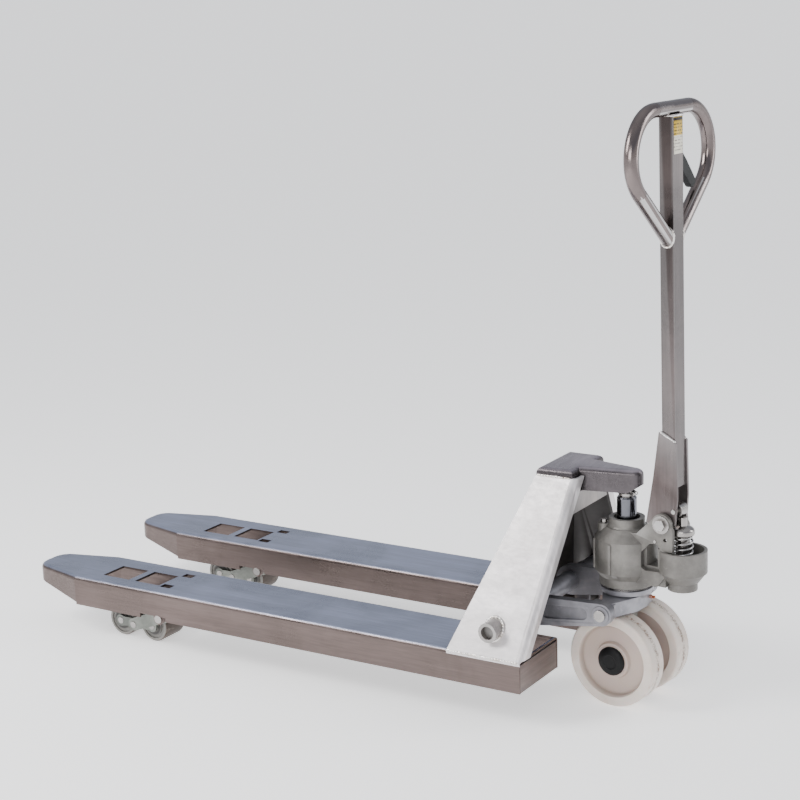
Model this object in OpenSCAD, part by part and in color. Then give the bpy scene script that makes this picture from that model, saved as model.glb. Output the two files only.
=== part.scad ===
// Hand pallet truck. Millimetres, +Z up, +X towards the handle, the floor at Z = 0.
// Lengths along X are first measured from the heel end of the forks, then moved to the origin.

/* [Forks] */
// Width over both forks
overall_w = 555; // [540:1:685]
// Width of one fork
fork_w = 170; // [160:1:180]
// Height of the fork tops above the floor, as posed
fork_top = 147; // [142:1:152]
// Height of the fork side flange
flange_h = 70; // [66:1:74]
// Fork plate thickness
fork_t = 5; // [4:0.5:6]
// Outer bend radius of the fork edge
bend_r = 10; // [8:1:12]
// Length of the straight channel, from heel to toe piece
channel_len = 1200; // [1150:1:1250]
// Length of the tapered toe piece
toe_len = 154; // [130:1:165]
// Radius of the toe's two corners
toe_corner_r = 40; // [30:1:44]

/* [Head frame] */
// Lean of the side plates from vertical, in degrees
lean = 30.6; // [29:0.1:32]
// Side plate thickness
side_t = 7; // [6:0.5:8]
// Length of a side plate along the fork
side_foot = 171; // [160:1:180]
// Height of the bridge top
bridge_top = 502; // [495:1:508]
// Depth of the bridge nose skirt
skirt_h = 49; // [44:1:52]

/* [Steering and pump] */
// Distance of the steering axis in front of the heel
steer_x = 111.4; // [108:0.1:116]
// Steering angle as posed, in degrees
steer_rest = -5; // [-15:1:15]
// Steering wheel radius
wheel_r = 100; // [95:1:102]
// Steering wheel width
wheel_w = 50; // [45:1:50]
// Distance between the two steering wheels' middles
wheel_pitch = 110; // [108:1:114]
// Ram radius
ram_r = 21; // [18:0.5:22]
// Pump body radius
pump_r = 68; // [64:1:70]

/* [Handle] */
// Height of the handle pivot
pivot_z = 404; // [400:1:408]
// Distance of the handle pivot from the steering axis
pivot_x = 102; // [98:1:106]
// Lean of the handle towards the forks, in degrees
handle_lean = -0.75; // [-2:0.05:1]
// Height of the loop's top bar above the pivot
loop_top = 843; // [800:1:860]
// Loop tube radius
loop_tube_r = 15; // [12:0.5:16]

/* [Load rollers] */
// Load roller radius
roller_r = 39; // [36:0.5:40]
// Load roller width
roller_w = 70; // [66:1:72]
// Distance between the two rollers of one bogie
roller_pitch = 94; // [88:1:96]

/* [Hidden] */

$fn = 64;
eps = 0.05;
fit = 0.05;
half_w = overall_w / 2;
fork_y = half_w - fork_w / 2;
flange_z = fork_top - flange_h;
tip_x = -(channel_len + toe_len);

// Head frame
plate_top_z = 486;
plate_slope = (plate_top_z - fork_top) / cos(lean);
edge_foot_x = 6;
edge_top_x = 33;
back_top_x = -61;
roll_r = 15;
flange_depth = 30;
cap_t = 7;
nose_tip_r = 19;
cap_r = 12;
toe_flat = 14;
toe_rise = 9.3;
nose_end_x = 148;
web_x = 20;
web_t = 6;
web_z = 411;
bulkhead_z = 149;

// Lift linkage
shaft_x = -74;
shaft_z = 197;
shaft_r = 14;
boss_r = 21;
arm_pin_x = 106;
arm_pin_z = 214;
arm_y = 108;
arm_t = 20;
lever_len = 76;
rod_z = shaft_z - lever_len;
lug_len = 42;
frame_x = -952;
frame_z = rod_z - lug_len;
frame_arm = 110;
bogie_z = roller_r;
bogie_x = frame_x - sqrt(pow(frame_arm, 2) - pow(frame_z - bogie_z, 2));
frame_plate_y = 48;
lug_y = 40;
bogie_plate_y = 39;
lever_y = 27;
rod_pin_r = 7;

// Carriage, pump and wheels
base_z = 203.5;
base_top_z = 247;
collar_z = 253.5;
collar_r = 58;
body_z = 279;
shoulder_z = 355;
neck_z = 378;
neck_top_z = 397;
neck_r = 38;
spindle_r = 22;
axle_x = 6;
axle_r = 10;
bearing_r = 23.5;
bearing_w = 14;
bowl_x = 132;
bowl_r = 51;
bowl_rim_z = 347;
bowl_floor_z = 304;
ear_y = 33;
ear_t = 10;
piston_r = 11;
cap_z = 378;
spring_r = 20;
wire_r = 2.4;
spring_turns = 6;

// Handle, in a frame at its pivot
tube_x = 10;
tube_w = 32;
tube_d = 40;
tube_t = 3;
tube_foot = 76;
bracket_t = 6;
loop_r = 90;
loop_half = 66;
leg_angle = 48;
press_x = 22;
press_z = 27;
press_r = 14;
lever_pivot_z = 764;

origin_x = (tip_x + steer_x + bowl_x * cos(steer_rest) + bowl_r) / 2;

// ---------- frames and small shapes ----------
module place() { translate([-origin_x, 0, 0]) children(); }
module steered() { place() translate([steer_x, 0, 0]) rotate([0, 0, steer_rest]) children(); }
module handle() { steered() translate([pivot_x, 0, pivot_z]) rotate([0, handle_lean, 0]) children(); }
module ycyl(r, len) { rotate([90, 0, 0]) cylinder(r = r, h = len, center = true); }
module bar_y(x, y, z, r, len) { translate([x, y, z]) ycyl(r, len); }
// An outline drawn in X and Z, given a thickness in Y about its middle
module plate_xz(y, t) { translate([0, y + t / 2, 0]) rotate([90, 0, 0]) linear_extrude(t) children(); }
// A link plate in X and Z between two round ends
module link2d(x1, z1, r1, x2, z2, r2) {
    a = atan2(z2 - z1, x2 - x1);
    b = acos((r1 - r2) / norm([x2 - x1, z2 - z1]));
    translate([x1, z1]) circle(r1);
    translate([x2, z2]) circle(r2);
    polygon([
        [x1 + r1 * cos(a + b), z1 + r1 * sin(a + b)], [x2 + r2 * cos(a + b), z2 + r2 * sin(a + b)],
        [x2 + r2 * cos(a - b), z2 + r2 * sin(a - b)], [x1 + r1 * cos(a - b), z1 + r1 * sin(a - b)]]);
}

// ---------- fork frame ----------
// Cross-section of a fork's outside: a block with rounded upper edges, in Y and Z
module fork_outline(grow) {
    w = fork_w / 2 - grow;
    r = bend_r - grow;
    top = fork_top - grow;
    for (s = [-1, 1]) translate([s * (w - r), top - r]) circle(r);
    translate([-w, flange_z - 1]) square([2 * w, top - r - flange_z + 1]);
    translate([-(w - r), flange_z - 1]) square([2 * (w - r), top - flange_z + 1]);
}
module along_x(x1, x2) { translate([x1, 0, 0]) rotate([90, 0, 90]) linear_extrude(x2 - x1) children(); }
module top_hole(x1, x2, y1, y2) { translate([x1, y1, fork_top - 15]) cube([x2 - x1, y2 - y1, 30]); }
// One fork about its own centre line; out is +1 where its outer side faces +Y
module fork(out) {
    difference() {
        along_x(-channel_len, 0) fork_outline(0);
        along_x(-channel_len - 1, 1) fork_outline(fork_t);
        translate([-channel_len - 1, -fork_w, flange_z - 20]) cube([channel_len + 2, 2 * fork_w, 20]);
        top_hole(-1144, -1065, -45, 28);
        top_hole(-1047, -974, -45, 28);
        for (s = [-1, 1]) top_hole(-968, -939, s * 40.5 - 10, s * 40.5 + 10);
        translate([-1003, -fork_w, flange_z - 1]) cube([76, 2 * fork_w, 11]);
        // the channel is open between the side plate's foot and the heel
        top_hole(-150, -fork_t, min(-out * 78, out * 52), max(-out * 78, out * 52));
        for (s = [-1, 1]) bar_y(frame_x, s * 80, frame_z, 10 + fit, 30);
    }
    // hangers for the wheel frame's shaft
    for (s = [-1, 1]) difference() {
        plate_xz(s * 75, 10) {
            translate([frame_x, frame_z]) circle(14);
            translate([frame_x - 14, frame_z]) square([28, fork_top - fork_t - frame_z]);
        }
        bar_y(frame_x, s * 75, frame_z, 10 + fit, 20);
    }
}
module fork_left() { color([0.62, 0.63, 0.66]) place() translate([0, fork_y, 0]) fork(1); }
module fork_right() { color([0.62, 0.63, 0.66]) place() translate([0, -fork_y, 0]) fork(-1); }

// Outline of the toe from above, inset by a distance
module toe_plan(inset) {
    w = fork_w / 2 - inset;
    for (k = [-1, 1]) translate([tip_x + toe_corner_r, k * toe_flat]) circle(toe_corner_r - inset);
    translate([-channel_len - 1, -w]) square([1, 2 * w]);
}
module toe_slice(inset, z) { translate([0, 0, z]) linear_extrude(0.1) toe_plan(inset); }
// The upper edge is rolled: slices a quarter turn round it, joined two by two
module toe_roll(inset, top, a) { toe_slice(inset + bend_r * (1 - cos(a)), top - bend_r * (1 - sin(a)) - 0.1); }
module toe_shell(inset, top) {
    hull() {
        toe_slice(inset, flange_z - 1);
        toe_roll(inset, top, 0);
    }
    for (a = [0:22.5:67.5]) hull() {
        toe_roll(inset, top, a);
        toe_roll(inset, top, a + 22.5);
    }
}
module toe() {
    difference() {
        toe_shell(0, fork_top, $fn = 48);
        translate([0.5, 0, 0]) toe_shell(fork_t, fork_top - fork_t, $fn = 48);
        // the lower edge rises towards the tip
        translate([-channel_len, -fork_w, flange_z + 6]) rotate([0, 180 + toe_rise, 0])
            translate([-20, 0, 0]) cube([toe_len + 60, 2 * fork_w, 60]);
        translate([-channel_len - 40, -fork_w, flange_z - 8]) cube([50, 2 * fork_w, 10]);
    }
}
module toe_left() { color([0.64, 0.65, 0.67]) place() translate([0, fork_y, 0]) toe(); }
module toe_right() { color([0.64, 0.65, 0.67]) place() translate([0, -fork_y, 0]) toe(); }

module heel_plates() {
    color([0.62, 0.58, 0.56]) place() for (s = [-1, 1]) translate([0, s * fork_y, 0]) {
        translate([-fork_t, -fork_w / 2 + fork_t + eps, flange_z]) cube([fork_t, fork_w - 2 * fork_t - 2 * eps, 61]);
        translate([-16, -fork_w / 2 + fork_t + eps, flange_z + 56]) cube([11, fork_w - 2 * fork_t - 2 * eps, 5]);
    }
}

// Section of a side plate: flat sheet with its rear edge rolled inwards, rear edge at x = 0
module side_section() {
    translate([-260, 0]) square([260 - roll_r, side_t]);
    intersection() {
        translate([-roll_r, roll_r]) difference() {
            circle(roll_r);
            circle(roll_r - side_t);
        }
        translate([-roll_r, 0]) square(roll_r);
    }
    translate([-side_t, roll_r]) square([side_t, flange_depth - roll_r]);
}
// One side plate, drawn upright with its outer face at y = 0 and then leant inwards
module side_plate() {
    edge_angle = atan((edge_top_x - edge_foot_x) / plate_slope);
    k = (back_top_x + side_foot) / plate_slope;
    difference() {
        translate([0, -half_w, fork_top]) rotate([-lean, 0, 0]) difference() {
            translate([edge_foot_x, 0, 0]) rotate([0, edge_angle, 0])
                translate([0, 0, -25]) linear_extrude(plate_slope + 50) side_section();
            plate_xz(0, 100) polygon([
                [-500, -60], [-side_foot - 60 * k, -60], [back_top_x + 60 * k, plate_slope + 60],
                [-500, plate_slope + 60]]);
        }
        translate([-300, -half_w - 60, plate_top_z]) cube([500, 500, 100]);
        translate([0, -fork_y, 0]) along_x(-300, 100) fork_outline(0);
        translate([-300, -half_w - 60, 0]) cube([500, 60, fork_top]);
        translate([-300, -half_w - 60, 0]) cube([500, 400, flange_z + 55]);
        bar_y(shaft_x, -half_w, shaft_z, boss_r + fit, 200);
    }
}
module side_plate_right() { color([0.86, 0.85, 0.85]) place() side_plate(); }
module side_plate_left() { color([0.86, 0.85, 0.85]) place() mirror([0, 1, 0]) side_plate(); }

function lean_y(z) = half_w - (z - fork_top) * tan(lean);
// Plans of the bridge: the nose over the ram, its wider root, and the block over the side plates
module nose_plan(inset) {
    translate([nose_end_x - nose_tip_r, 0]) circle(nose_tip_r - inset);
    translate([12, inset - 40]) square([12, 80 - 2 * inset]);
}
module root_plan(inset) { translate([5 + inset / 2, inset - 52]) square([15 - inset, 104 - 2 * inset]); }
module block_plan(inset) {
    y = lean_y(bridge_top - cap_r) - inset;
    translate([back_top_x - 1 + inset, -y]) square([23 - back_top_x - 2 * inset, 2 * y]);
}
module cap_slice(part, inset, z) {
    translate([0, 0, z]) linear_extrude(0.1) {
        if (part == 0) nose_plan(inset);
        if (part == 1) root_plan(inset);
        if (part == 2) block_plan(inset);
    }
}
module cap_roll(part, a) { cap_slice(part, cap_r * (1 - cos(a)), bridge_top - cap_r * (1 - sin(a)) - 0.1); }
// Outside of the bridge with a rolled upper edge: slices joined two by two
module bridge_outside() {
    for (part = [0:2]) {
        hull() {
            cap_slice(part, 0, part == 2 ? plate_top_z + 0.1 : bridge_top - skirt_h);
            cap_roll(part, 0);
        }
        for (a = [0:18:72]) hull() {
            cap_roll(part, a);
            cap_roll(part, a + 18);
        }
    }
}
module bridge_cap() {
    low = bridge_top - skirt_h;
    inner_h = skirt_h - cap_t;
    color([0.66, 0.65, 0.66]) place() difference() {
        bridge_outside();
        translate([0, 0, low - 1]) linear_extrude(inner_h + 1) {
            hull() nose_plan(cap_t);
            translate([0, -45]) square([13, 90]);
        }
        translate([back_top_x + 8, -52, plate_top_z - 1])
            cube([10 - back_top_x, 104, bridge_top - cap_t - plate_top_z + 1]);
        // the skirt's lower edge rises at the tip
        translate([122, -60, low]) rotate([0, -33, 0]) translate([0, 0, -40]) cube([60, 120, 40]);
    }
}

// Plate that closes the load side between the side plates
module bulkhead() {
    back_angle = atan((back_top_x + side_foot) / (plate_top_z - fork_top));
    len = (plate_top_z - 3 - bulkhead_z) / cos(back_angle);
    side_gap = side_t / cos(lean) + 1;
    foot_x = -side_foot + 14 + (bulkhead_z - fork_top) * tan(back_angle);
    color([0.45, 0.44, 0.44]) place() translate([foot_x, 0, bulkhead_z]) rotate([0, back_angle, 0])
        rotate([90, 0, 90]) linear_extrude(5) polygon([
            [-lean_y(bulkhead_z) + side_gap, 0], [lean_y(bulkhead_z) - side_gap, 0],
            [lean_y(plate_top_z) - side_gap, len], [-lean_y(plate_top_z) + side_gap, len]]);
}

// Plate under the bridge between the two rolled rear edges
module front_web() {
    inner = flange_depth / cos(lean) + 0.5;
    top_z = bridge_top - skirt_h - 0.3;
    color([0.6, 0.56, 0.54]) place() translate([web_x, 0, 0]) rotate([90, 0, 90]) linear_extrude(web_t) polygon([
        [inner - lean_y(web_z), web_z], [lean_y(web_z) - inner, web_z],
        [lean_y(top_z) - inner, top_z], [inner - lean_y(top_z), top_z]]);
}

module pivot_bosses() {
    len = half_w - 226;
    color([0.7, 0.68, 0.68]) place() for (s = [-1, 1]) difference() {
        bar_y(shaft_x, s * (226 + len / 2), shaft_z, boss_r, len);
        bar_y(shaft_x, s * (226 + len / 2), shaft_z, shaft_r + fit, len + 10);
    }
}
module torsion_shaft() { color([0.55, 0.55, 0.57]) place() bar_y(shaft_x, 0, shaft_z, shaft_r, overall_w - 22); }
module frame_shafts() {
    color([0.75, 0.72, 0.7]) place() for (s = [-1, 1]) bar_y(frame_x, s * fork_y, frame_z, 10, fork_w - 3);
}

// ---------- ram, fixed under the bridge ----------
module ram() {
    color([0.5, 0.52, 0.56]) place() translate([steer_x, 0, 0]) {
        translate([0, 0, 313]) cylinder(r = ram_r, h = 126);
        translate([0, 0, 439]) cylinder(r = ram_r - 1.5, h = 2);
    }
}
module ram_head() {
    color([0.62, 0.6, 0.58]) place() translate([steer_x, 0, 0]) {
        translate([0, 0, 441]) cylinder(r = ram_r - 5, h = 3);
        translate([0, 0, 444]) cylinder(r = 17.5, h = 8);
        translate([0, 0, 452]) cylinder(r = 11, h = bridge_top - cap_t - 452);
    }
}
module ram_clip() {
    color([0.7, 0.7, 0.72]) place() translate([steer_x, 0, 450]) {
        rotate_extrude() translate([18.8, 0]) circle(1.2, $fn = 16);
        translate([21.6, 0, 0]) rotate([90, 0, 0]) rotate_extrude() translate([3, 0]) circle(1.1, $fn = 16);
    }
}

// ---------- rocker: torsion tube, two long arms, four short levers ----------
module rocker() {
    color([0.6, 0.6, 0.63]) place() difference() {
        union() {
            bar_y(shaft_x, 0, shaft_z, 21, 444);
            for (s = [-1, 1]) {
                plate_xz(s * arm_y, arm_t) link2d(shaft_x, shaft_z, 34, arm_pin_x, arm_pin_z, 24);
                for (k = [-1, 1])
                    plate_xz(s * fork_y + k * lever_y, 8)
                        link2d(shaft_x, shaft_z, 23, shaft_x, rod_z, 13);
                bar_y(shaft_x, s * fork_y, rod_z, rod_pin_r, 2 * lever_y + 10);
                bar_y(arm_pin_x, s * (arm_y + 1.5), arm_pin_z, 19, arm_t + 3);
            }
        }
        bar_y(shaft_x, 0, shaft_z, shaft_r + fit, 460);
        for (s = [-1, 1]) {
            bar_y(arm_pin_x, s * arm_y, arm_pin_z, 11 + fit, 60);
            // recessed panel in the outer face, a rounded slot that follows the arm
            translate([0, s * (arm_y + arm_t / 2), 0]) plate_xz(0, 8)
                link2d(-20, shaft_z + 5, 15, 62, shaft_z + 12.5, 13);
        }
    }
}
module rocker_pins() {
    color([0.72, 0.72, 0.74]) place() for (s = [-1, 1]) {
        bar_y(arm_pin_x, s * (arm_y - 4), arm_pin_z, 11, arm_t + 20);
        bar_y(arm_pin_x, s * (arm_y + arm_t / 2 + 5.6), arm_pin_z, 12.5, 5);
    }
}

// ---------- push rods and load wheel frames ----------
module push_rod(s) {
    color([0.5, 0.5, 0.52]) place() translate([0, s * fork_y, 0]) {
        difference() {
            union() {
                translate([frame_x + 10, 0, rod_z]) rotate([0, 90, 0])
                    cylinder(r = 10, h = shaft_x - frame_x - 20);
                plate_xz(0, 62) {
                    translate([frame_x, rod_z]) circle(15);
                    translate([frame_x, rod_z - 15]) square([26, 30]);
                }
                plate_xz(0, 42) {
                    translate([shaft_x, rod_z]) circle(15);
                    translate([shaft_x - 26, rod_z - 15]) square([26, 30]);
                }
            }
            // slots that let the pins swing on their arcs
            bar_y(frame_x, 0, rod_z, rod_pin_r + 1.5, 80);
            translate([frame_x - rod_pin_r - 1.5, -40, rod_z - 9]) cube([2 * rod_pin_r + 3, 80, 9]);
            bar_y(frame_x, 0, rod_z - 9, rod_pin_r + 1.5, 80);
            bar_y(shaft_x, 0, rod_z, rod_pin_r + 1, 80);
            translate([shaft_x - rod_pin_r - 1, -40, rod_z]) cube([2 * rod_pin_r + 2, 80, 6]);
            bar_y(shaft_x, 0, rod_z + 6, rod_pin_r + 1, 80);
        }
    }
}
module push_rod_left() { push_rod(1); }
module push_rod_right() { push_rod(-1); }

module wheel_frame(s) {
    color([0.56, 0.57, 0.55]) place() translate([0, s * fork_y, 0]) difference() {
        union() {
            bar_y(frame_x, 0, frame_z, 16, 2 * frame_plate_y - 8);
            for (k = [-1, 1]) {
                plate_xz(k * frame_plate_y, 8) link2d(frame_x, frame_z, 17, bogie_x, bogie_z, 15);
                plate_xz(k * lug_y, 8) link2d(frame_x, frame_z, 16, frame_x, rod_z, 12);
            }
            bar_y(frame_x, 0, rod_z, rod_pin_r, 2 * lug_y + 16);
        }
        bar_y(frame_x, 0, frame_z, 10 + fit, 200);
        for (k = [-1, 1]) bar_y(bogie_x, k * frame_plate_y, bogie_z, 8 + fit, 20);
    }
}
module wheel_frame_left() { wheel_frame(1); }
module wheel_frame_right() { wheel_frame(-1); }

module bogie_pin(s) {
    color([0.72, 0.7, 0.68]) place() translate([0, s * fork_y, 0])
        for (k = [-1, 1]) bar_y(bogie_x, k * 44.5, bogie_z, 8, 18);
}
module bogie_pin_left() { bogie_pin(1); }
module bogie_pin_right() { bogie_pin(-1); }

module bogie(s) {
    color([0.52, 0.53, 0.52]) place() translate([0, s * fork_y, 0]) for (k = [-1, 1]) difference() {
        plate_xz(k * bogie_plate_y, 6) {
            for (e = [-1, 1]) translate([bogie_x + e * roller_pitch / 2, bogie_z]) circle(14);
            translate([bogie_x, bogie_z]) circle(15);
            translate([bogie_x - roller_pitch / 2, bogie_z - 11]) square([roller_pitch, 22]);
        }
        for (e = [-1, 1]) bar_y(bogie_x + e * roller_pitch / 2, k * bogie_plate_y, bogie_z, 8 + fit, 20);
        bar_y(bogie_x, k * bogie_plate_y, bogie_z, 8 + fit, 20);
    }
}
module bogie_left() { bogie(1); }
module bogie_right() { bogie(-1); }

module roller_axles(s) {
    color([0.74, 0.72, 0.7]) place() translate([0, s * fork_y, 0])
        for (e = [-1, 1]) bar_y(bogie_x + e * roller_pitch / 2, 0, bogie_z, 8, 2 * bogie_plate_y + 8);
}
module roller_axles_left() { roller_axles(1); }
module roller_axles_right() { roller_axles(-1); }

module load_roller(s, e) {
    color([0.35, 0.31, 0.3]) place()
        translate([bogie_x + e * roller_pitch / 2, s * fork_y, bogie_z]) rotate([90, 0, 0]) rotate_extrude()
            polygon([
                [8 + fit, -roller_w / 2], [24, -roller_w / 2], [24, -roller_w / 2 + 4], [31, -roller_w / 2 + 4],
                [31, -roller_w / 2], [roller_r - 3, -roller_w / 2], [roller_r, -roller_w / 2 + 3],
                [roller_r, roller_w / 2 - 3], [roller_r - 3, roller_w / 2], [31, roller_w / 2],
                [31, roller_w / 2 - 4], [24, roller_w / 2 - 4], [24, roller_w / 2], [8 + fit, roller_w / 2]]);
}
module roller_left_toe() { load_roller(1, -1); }
module roller_left_heel() { load_roller(1, 1); }
module roller_right_toe() { load_roller(-1, -1); }
module roller_right_heel() { load_roller(-1, 1); }

// ---------- carriage: the base plate that the rocker arms hold ----------
module base_plan() {
    polygon([
        [-12, -96], [10, -96], [40, -36], [44, 0], [40, 36], [10, 96],
        [-12, 96], [-40, 36], [-44, 0], [-40, -36]]);
}
module base_plate() {
    slot_r = 12.5;
    slot_len = 14;
    color([0.58, 0.58, 0.61]) place() difference() {
        union() {
            translate([steer_x, 0, base_z]) linear_extrude(31) base_plan();
            translate([steer_x, 0, base_z + 22]) cylinder(r1 = 44, r2 = 52, h = 12);
            translate([steer_x, 0, base_z + 34]) cylinder(r = 56, h = base_top_z - base_z - 34);
            // blocks that take the rocker's pins
            for (s = [-1, 1]) translate([arm_pin_x - 32, s * 85 - 11, base_z])
                cube([53, 22, arm_pin_z + 18 - base_z]);
        }
        translate([steer_x, 0, base_z - 1]) cylinder(r = spindle_r + fit, h = 60);
        // slots: the pins swing on an arc while the carriage moves straight
        for (s = [-1, 1]) {
            bar_y(arm_pin_x, s * 90, arm_pin_z - 0.3, slot_r, 16);
            translate([arm_pin_x - slot_len, s * 90 - 8, arm_pin_z - 0.3 - slot_r])
                cube([slot_len, 16, 2 * slot_r]);
            bar_y(arm_pin_x - slot_len, s * 90, arm_pin_z - 0.3, slot_r, 16);
        }
    }
}
module grease_nipple() {
    color([0.72, 0.45, 0.33]) place() translate([steer_x + 43.4, 18, base_z + 17]) rotate([0, 90, 6]) {
        cylinder(r = 4.5, h = 6, $fn = 6);
        translate([0, 0, 6]) cylinder(r = 2.6, h = 3);
        translate([0, 0, 10]) sphere(r = 3.2);
    }
}
module thrust_bearing() {
    color([0.6, 0.6, 0.62]) place() translate([steer_x, 0, base_top_z]) {
        difference() {
            cylinder(r = 50, h = 2.5);
            translate([0, 0, -1]) cylinder(r = 30, h = 5);
        }
        for (i = [0:17]) rotate([0, 0, i * 20]) translate([40, 0, 4.1]) sphere(r = 1.8, $fn = 24);
    }
}

// ---------- pump and steering head ----------
// Outline of the two webs that carry the handle and the piston bowl
module web_outline() {
    polygon([
        [20, 268], [92, 268], [128, 312], [128, 392], [118, 410], [pivot_x, 422],
        [86, 417], [44, 376], [20, 376]]);
    translate([pivot_x, pivot_z]) circle(22);
}
module window_outline() {
    polygon([[55, 305], [64, 299], [99, 301], [99, 352], [91, 361], [75, 359], [55, 338]]);
}
module pump_casting() {
    color([0.62, 0.61, 0.57]) steered() {
        difference() {
            union() {
                translate([0, 0, collar_z]) cylinder(r = collar_r, h = 20);
                translate([0, 0, collar_z + 18]) cylinder(r1 = collar_r, r2 = pump_r, h = 14);
                translate([0, 0, body_z + 6]) cylinder(r = pump_r, h = shoulder_z - body_z - 6);
                translate([0, 0, shoulder_z]) cylinder(r1 = pump_r, r2 = neck_r + 7, h = neck_z - shoulder_z);
                translate([0, 0, neck_z]) cylinder(r1 = neck_r + 3, r2 = neck_r, h = 5);
                translate([0, 0, neck_z + 4]) cylinder(r = neck_r, h = neck_top_z - neck_z - 4);
                // spindle and axle boss between the wheels
                translate([0, 0, wheel_r - 6]) cylinder(r = spindle_r, h = collar_z - wheel_r + 7);
                translate([axle_x, 0, wheel_r]) ycyl(24, wheel_pitch - wheel_w - 6);
                // vertical ribs and the screw's pad
                for (a = [217, 268, 143]) rotate([0, 0, a])
                    translate([pump_r - 3, -3, body_z + 8]) cube([6, 6, shoulder_z - body_z - 12]);
                rotate([0, 0, 207]) translate([48, 0, shoulder_z - 20]) cylinder(r = 13, h = 48);
                // piston bowl
                translate([bowl_x, 0, 299]) cylinder(r = bowl_r, h = bowl_rim_z - 299);
                translate([bowl_x, 0, 278]) cylinder(r1 = 34, r2 = bowl_r - 1, h = 21.5);
                translate([bowl_x, 0, 261]) cylinder(r = 31, h = 18);
                translate([40, -ear_y, 268]) cube([70, 2 * ear_y, 40]);
                for (s = [-1, 1]) plate_xz(s * ear_y, ear_t) web_outline();
            }
            for (s = [-1, 1]) plate_xz(s * ear_y, ear_t + 2) window_outline();
            // ram bore and the recess at its mouth
            translate([0, 0, 258]) cylinder(r = ram_r + fit, h = 200);
            translate([0, 0, neck_z]) cylinder(r = 28, h = 60);
            // bowl, spring seat and piston bore
            translate([bowl_x, 0, 318]) cylinder(r = 44, h = bowl_rim_z - 318 + 0.2);
            translate([bowl_x, 0, bowl_floor_z]) cylinder(r = 26.5, h = 90);
            translate([bowl_x, 0, 263.5]) cylinder(r = piston_r + fit, h = 60);
            translate([pivot_x, 0, pivot_z]) ycyl(8 + fit, 100);
            bar_y(111, -ear_y, 372, 4, 20);
            bar_y(88, 0, 366, 3, 200);
            translate([axle_x, 0, wheel_r]) ycyl(axle_r + fit, 100);
        }
    }
}
module gland_ring() {
    color([0.3, 0.3, 0.31]) steered() translate([0, 0, neck_z]) difference() {
        cylinder(r = 27.9, h = 8);
        translate([0, 0, -1]) cylinder(r = ram_r + 0.1, h = 12);
    }
}
module pump_fasteners() {
    color([0.66, 0.66, 0.67]) steered() {
        rotate([0, 0, 207]) translate([48, 0, shoulder_z + 28]) {
            cylinder(r = 7.5, h = 3);
            translate([0, 0, 3]) cylinder(r = 6.5, h = 4, $fn = 6);
        }
        bar_y(88, 0, 366, 3, 2 * ear_y + 14);
    }
}
module steer_axle() {
    color([0.6, 0.6, 0.62]) steered() translate([axle_x, 0, wheel_r]) ycyl(axle_r, wheel_pitch + 44);
}
module axle_circlips() {
    color([0.35, 0.35, 0.36]) steered() for (s = [-1, 1]) translate([axle_x, s * (wheel_pitch / 2 + 20.2), wheel_r])
        difference() {
            ycyl(14, 1.6);
            ycyl(axle_r + 0.02, 4);
        }
}

// Steering wheel: rounded tread with a groove round its middle, a thin web and a hub ring
module steer_wheel(s) {
    h = wheel_w / 2;
    r = wheel_r;
    e = 5;
    color([0.88, 0.85, 0.8]) steered() translate([axle_x, s * wheel_pitch / 2, wheel_r]) rotate([90, 0, 0])
        rotate_extrude($fn = 96) polygon(concat(
            [[bearing_r, -h + 5], [38, -h + 5], [41, -h + 13], [75, -h + 13], [79, -h]],
            [for (a = [0:15:90]) [r - e + e * sin(a), -h + e - e * cos(a)]],
            [[r, -1.2], [r - 1.2, 0], [r, 1.2]],
            [for (a = [90:-15:0]) [r - e + e * sin(a), h - e + e * cos(a)]],
            [[79, h], [75, h - 13], [41, h - 13], [38, h - 5], [bearing_r, h - 5]]));
}
module steer_wheel_left() { steer_wheel(1); }
module steer_wheel_right() { steer_wheel(-1); }

// Two sealed ball bearings: inner and outer race with a seal set back between them
module wheel_bearings(s) {
    h = bearing_w / 2;
    color([0.62, 0.63, 0.65]) steered() translate([axle_x, s * wheel_pitch / 2, wheel_r])
        for (k = [-1, 1]) translate([0, k * 12, 0]) rotate([90, 0, 0]) rotate_extrude() polygon([
            [axle_r + fit, -h], [14.5, -h], [14.5, -h + 1], [19.5, -h + 1], [19.5, -h], [bearing_r - 0.02, -h],
            [bearing_r - 0.02, h], [19.5, h], [19.5, h - 1], [14.5, h - 1], [14.5, h], [axle_r + fit, h]]);
}
module wheel_bearings_left() { wheel_bearings(1); }
module wheel_bearings_right() { wheel_bearings(-1); }

module hub_cap(s) {
    color([0.06, 0.06, 0.07]) steered() translate([axle_x, s * (wheel_pitch / 2 + 20), wheel_r])
        rotate([s > 0 ? -90 : 90, 0, 0]) rotate_extrude() polygon([
            [0, 6], [17, 6], [17, 0], [31, 0], [31, 4], [27, 8], [19, 10], [15.5, 10.4], [14.5, 9.2], [0, 9.6]]);
}
module hub_cap_left() { hub_cap(1); }
module hub_cap_right() { hub_cap(-1); }

// ---------- pump piston, spring and release lever ----------
module pump_piston() {
    color([0.72, 0.73, 0.75]) steered() translate([bowl_x, 0, 0]) rotate_extrude() polygon([
        [0, 303], [piston_r, 303], [piston_r, cap_z], [23, cap_z], [24.5, cap_z + 3], [24.5, cap_z + 9],
        [23, cap_z + 13], [19, cap_z + 16.5], [12, cap_z + 19], [9, cap_z + 20], [9, 416], [0, 416]]);
}
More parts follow.
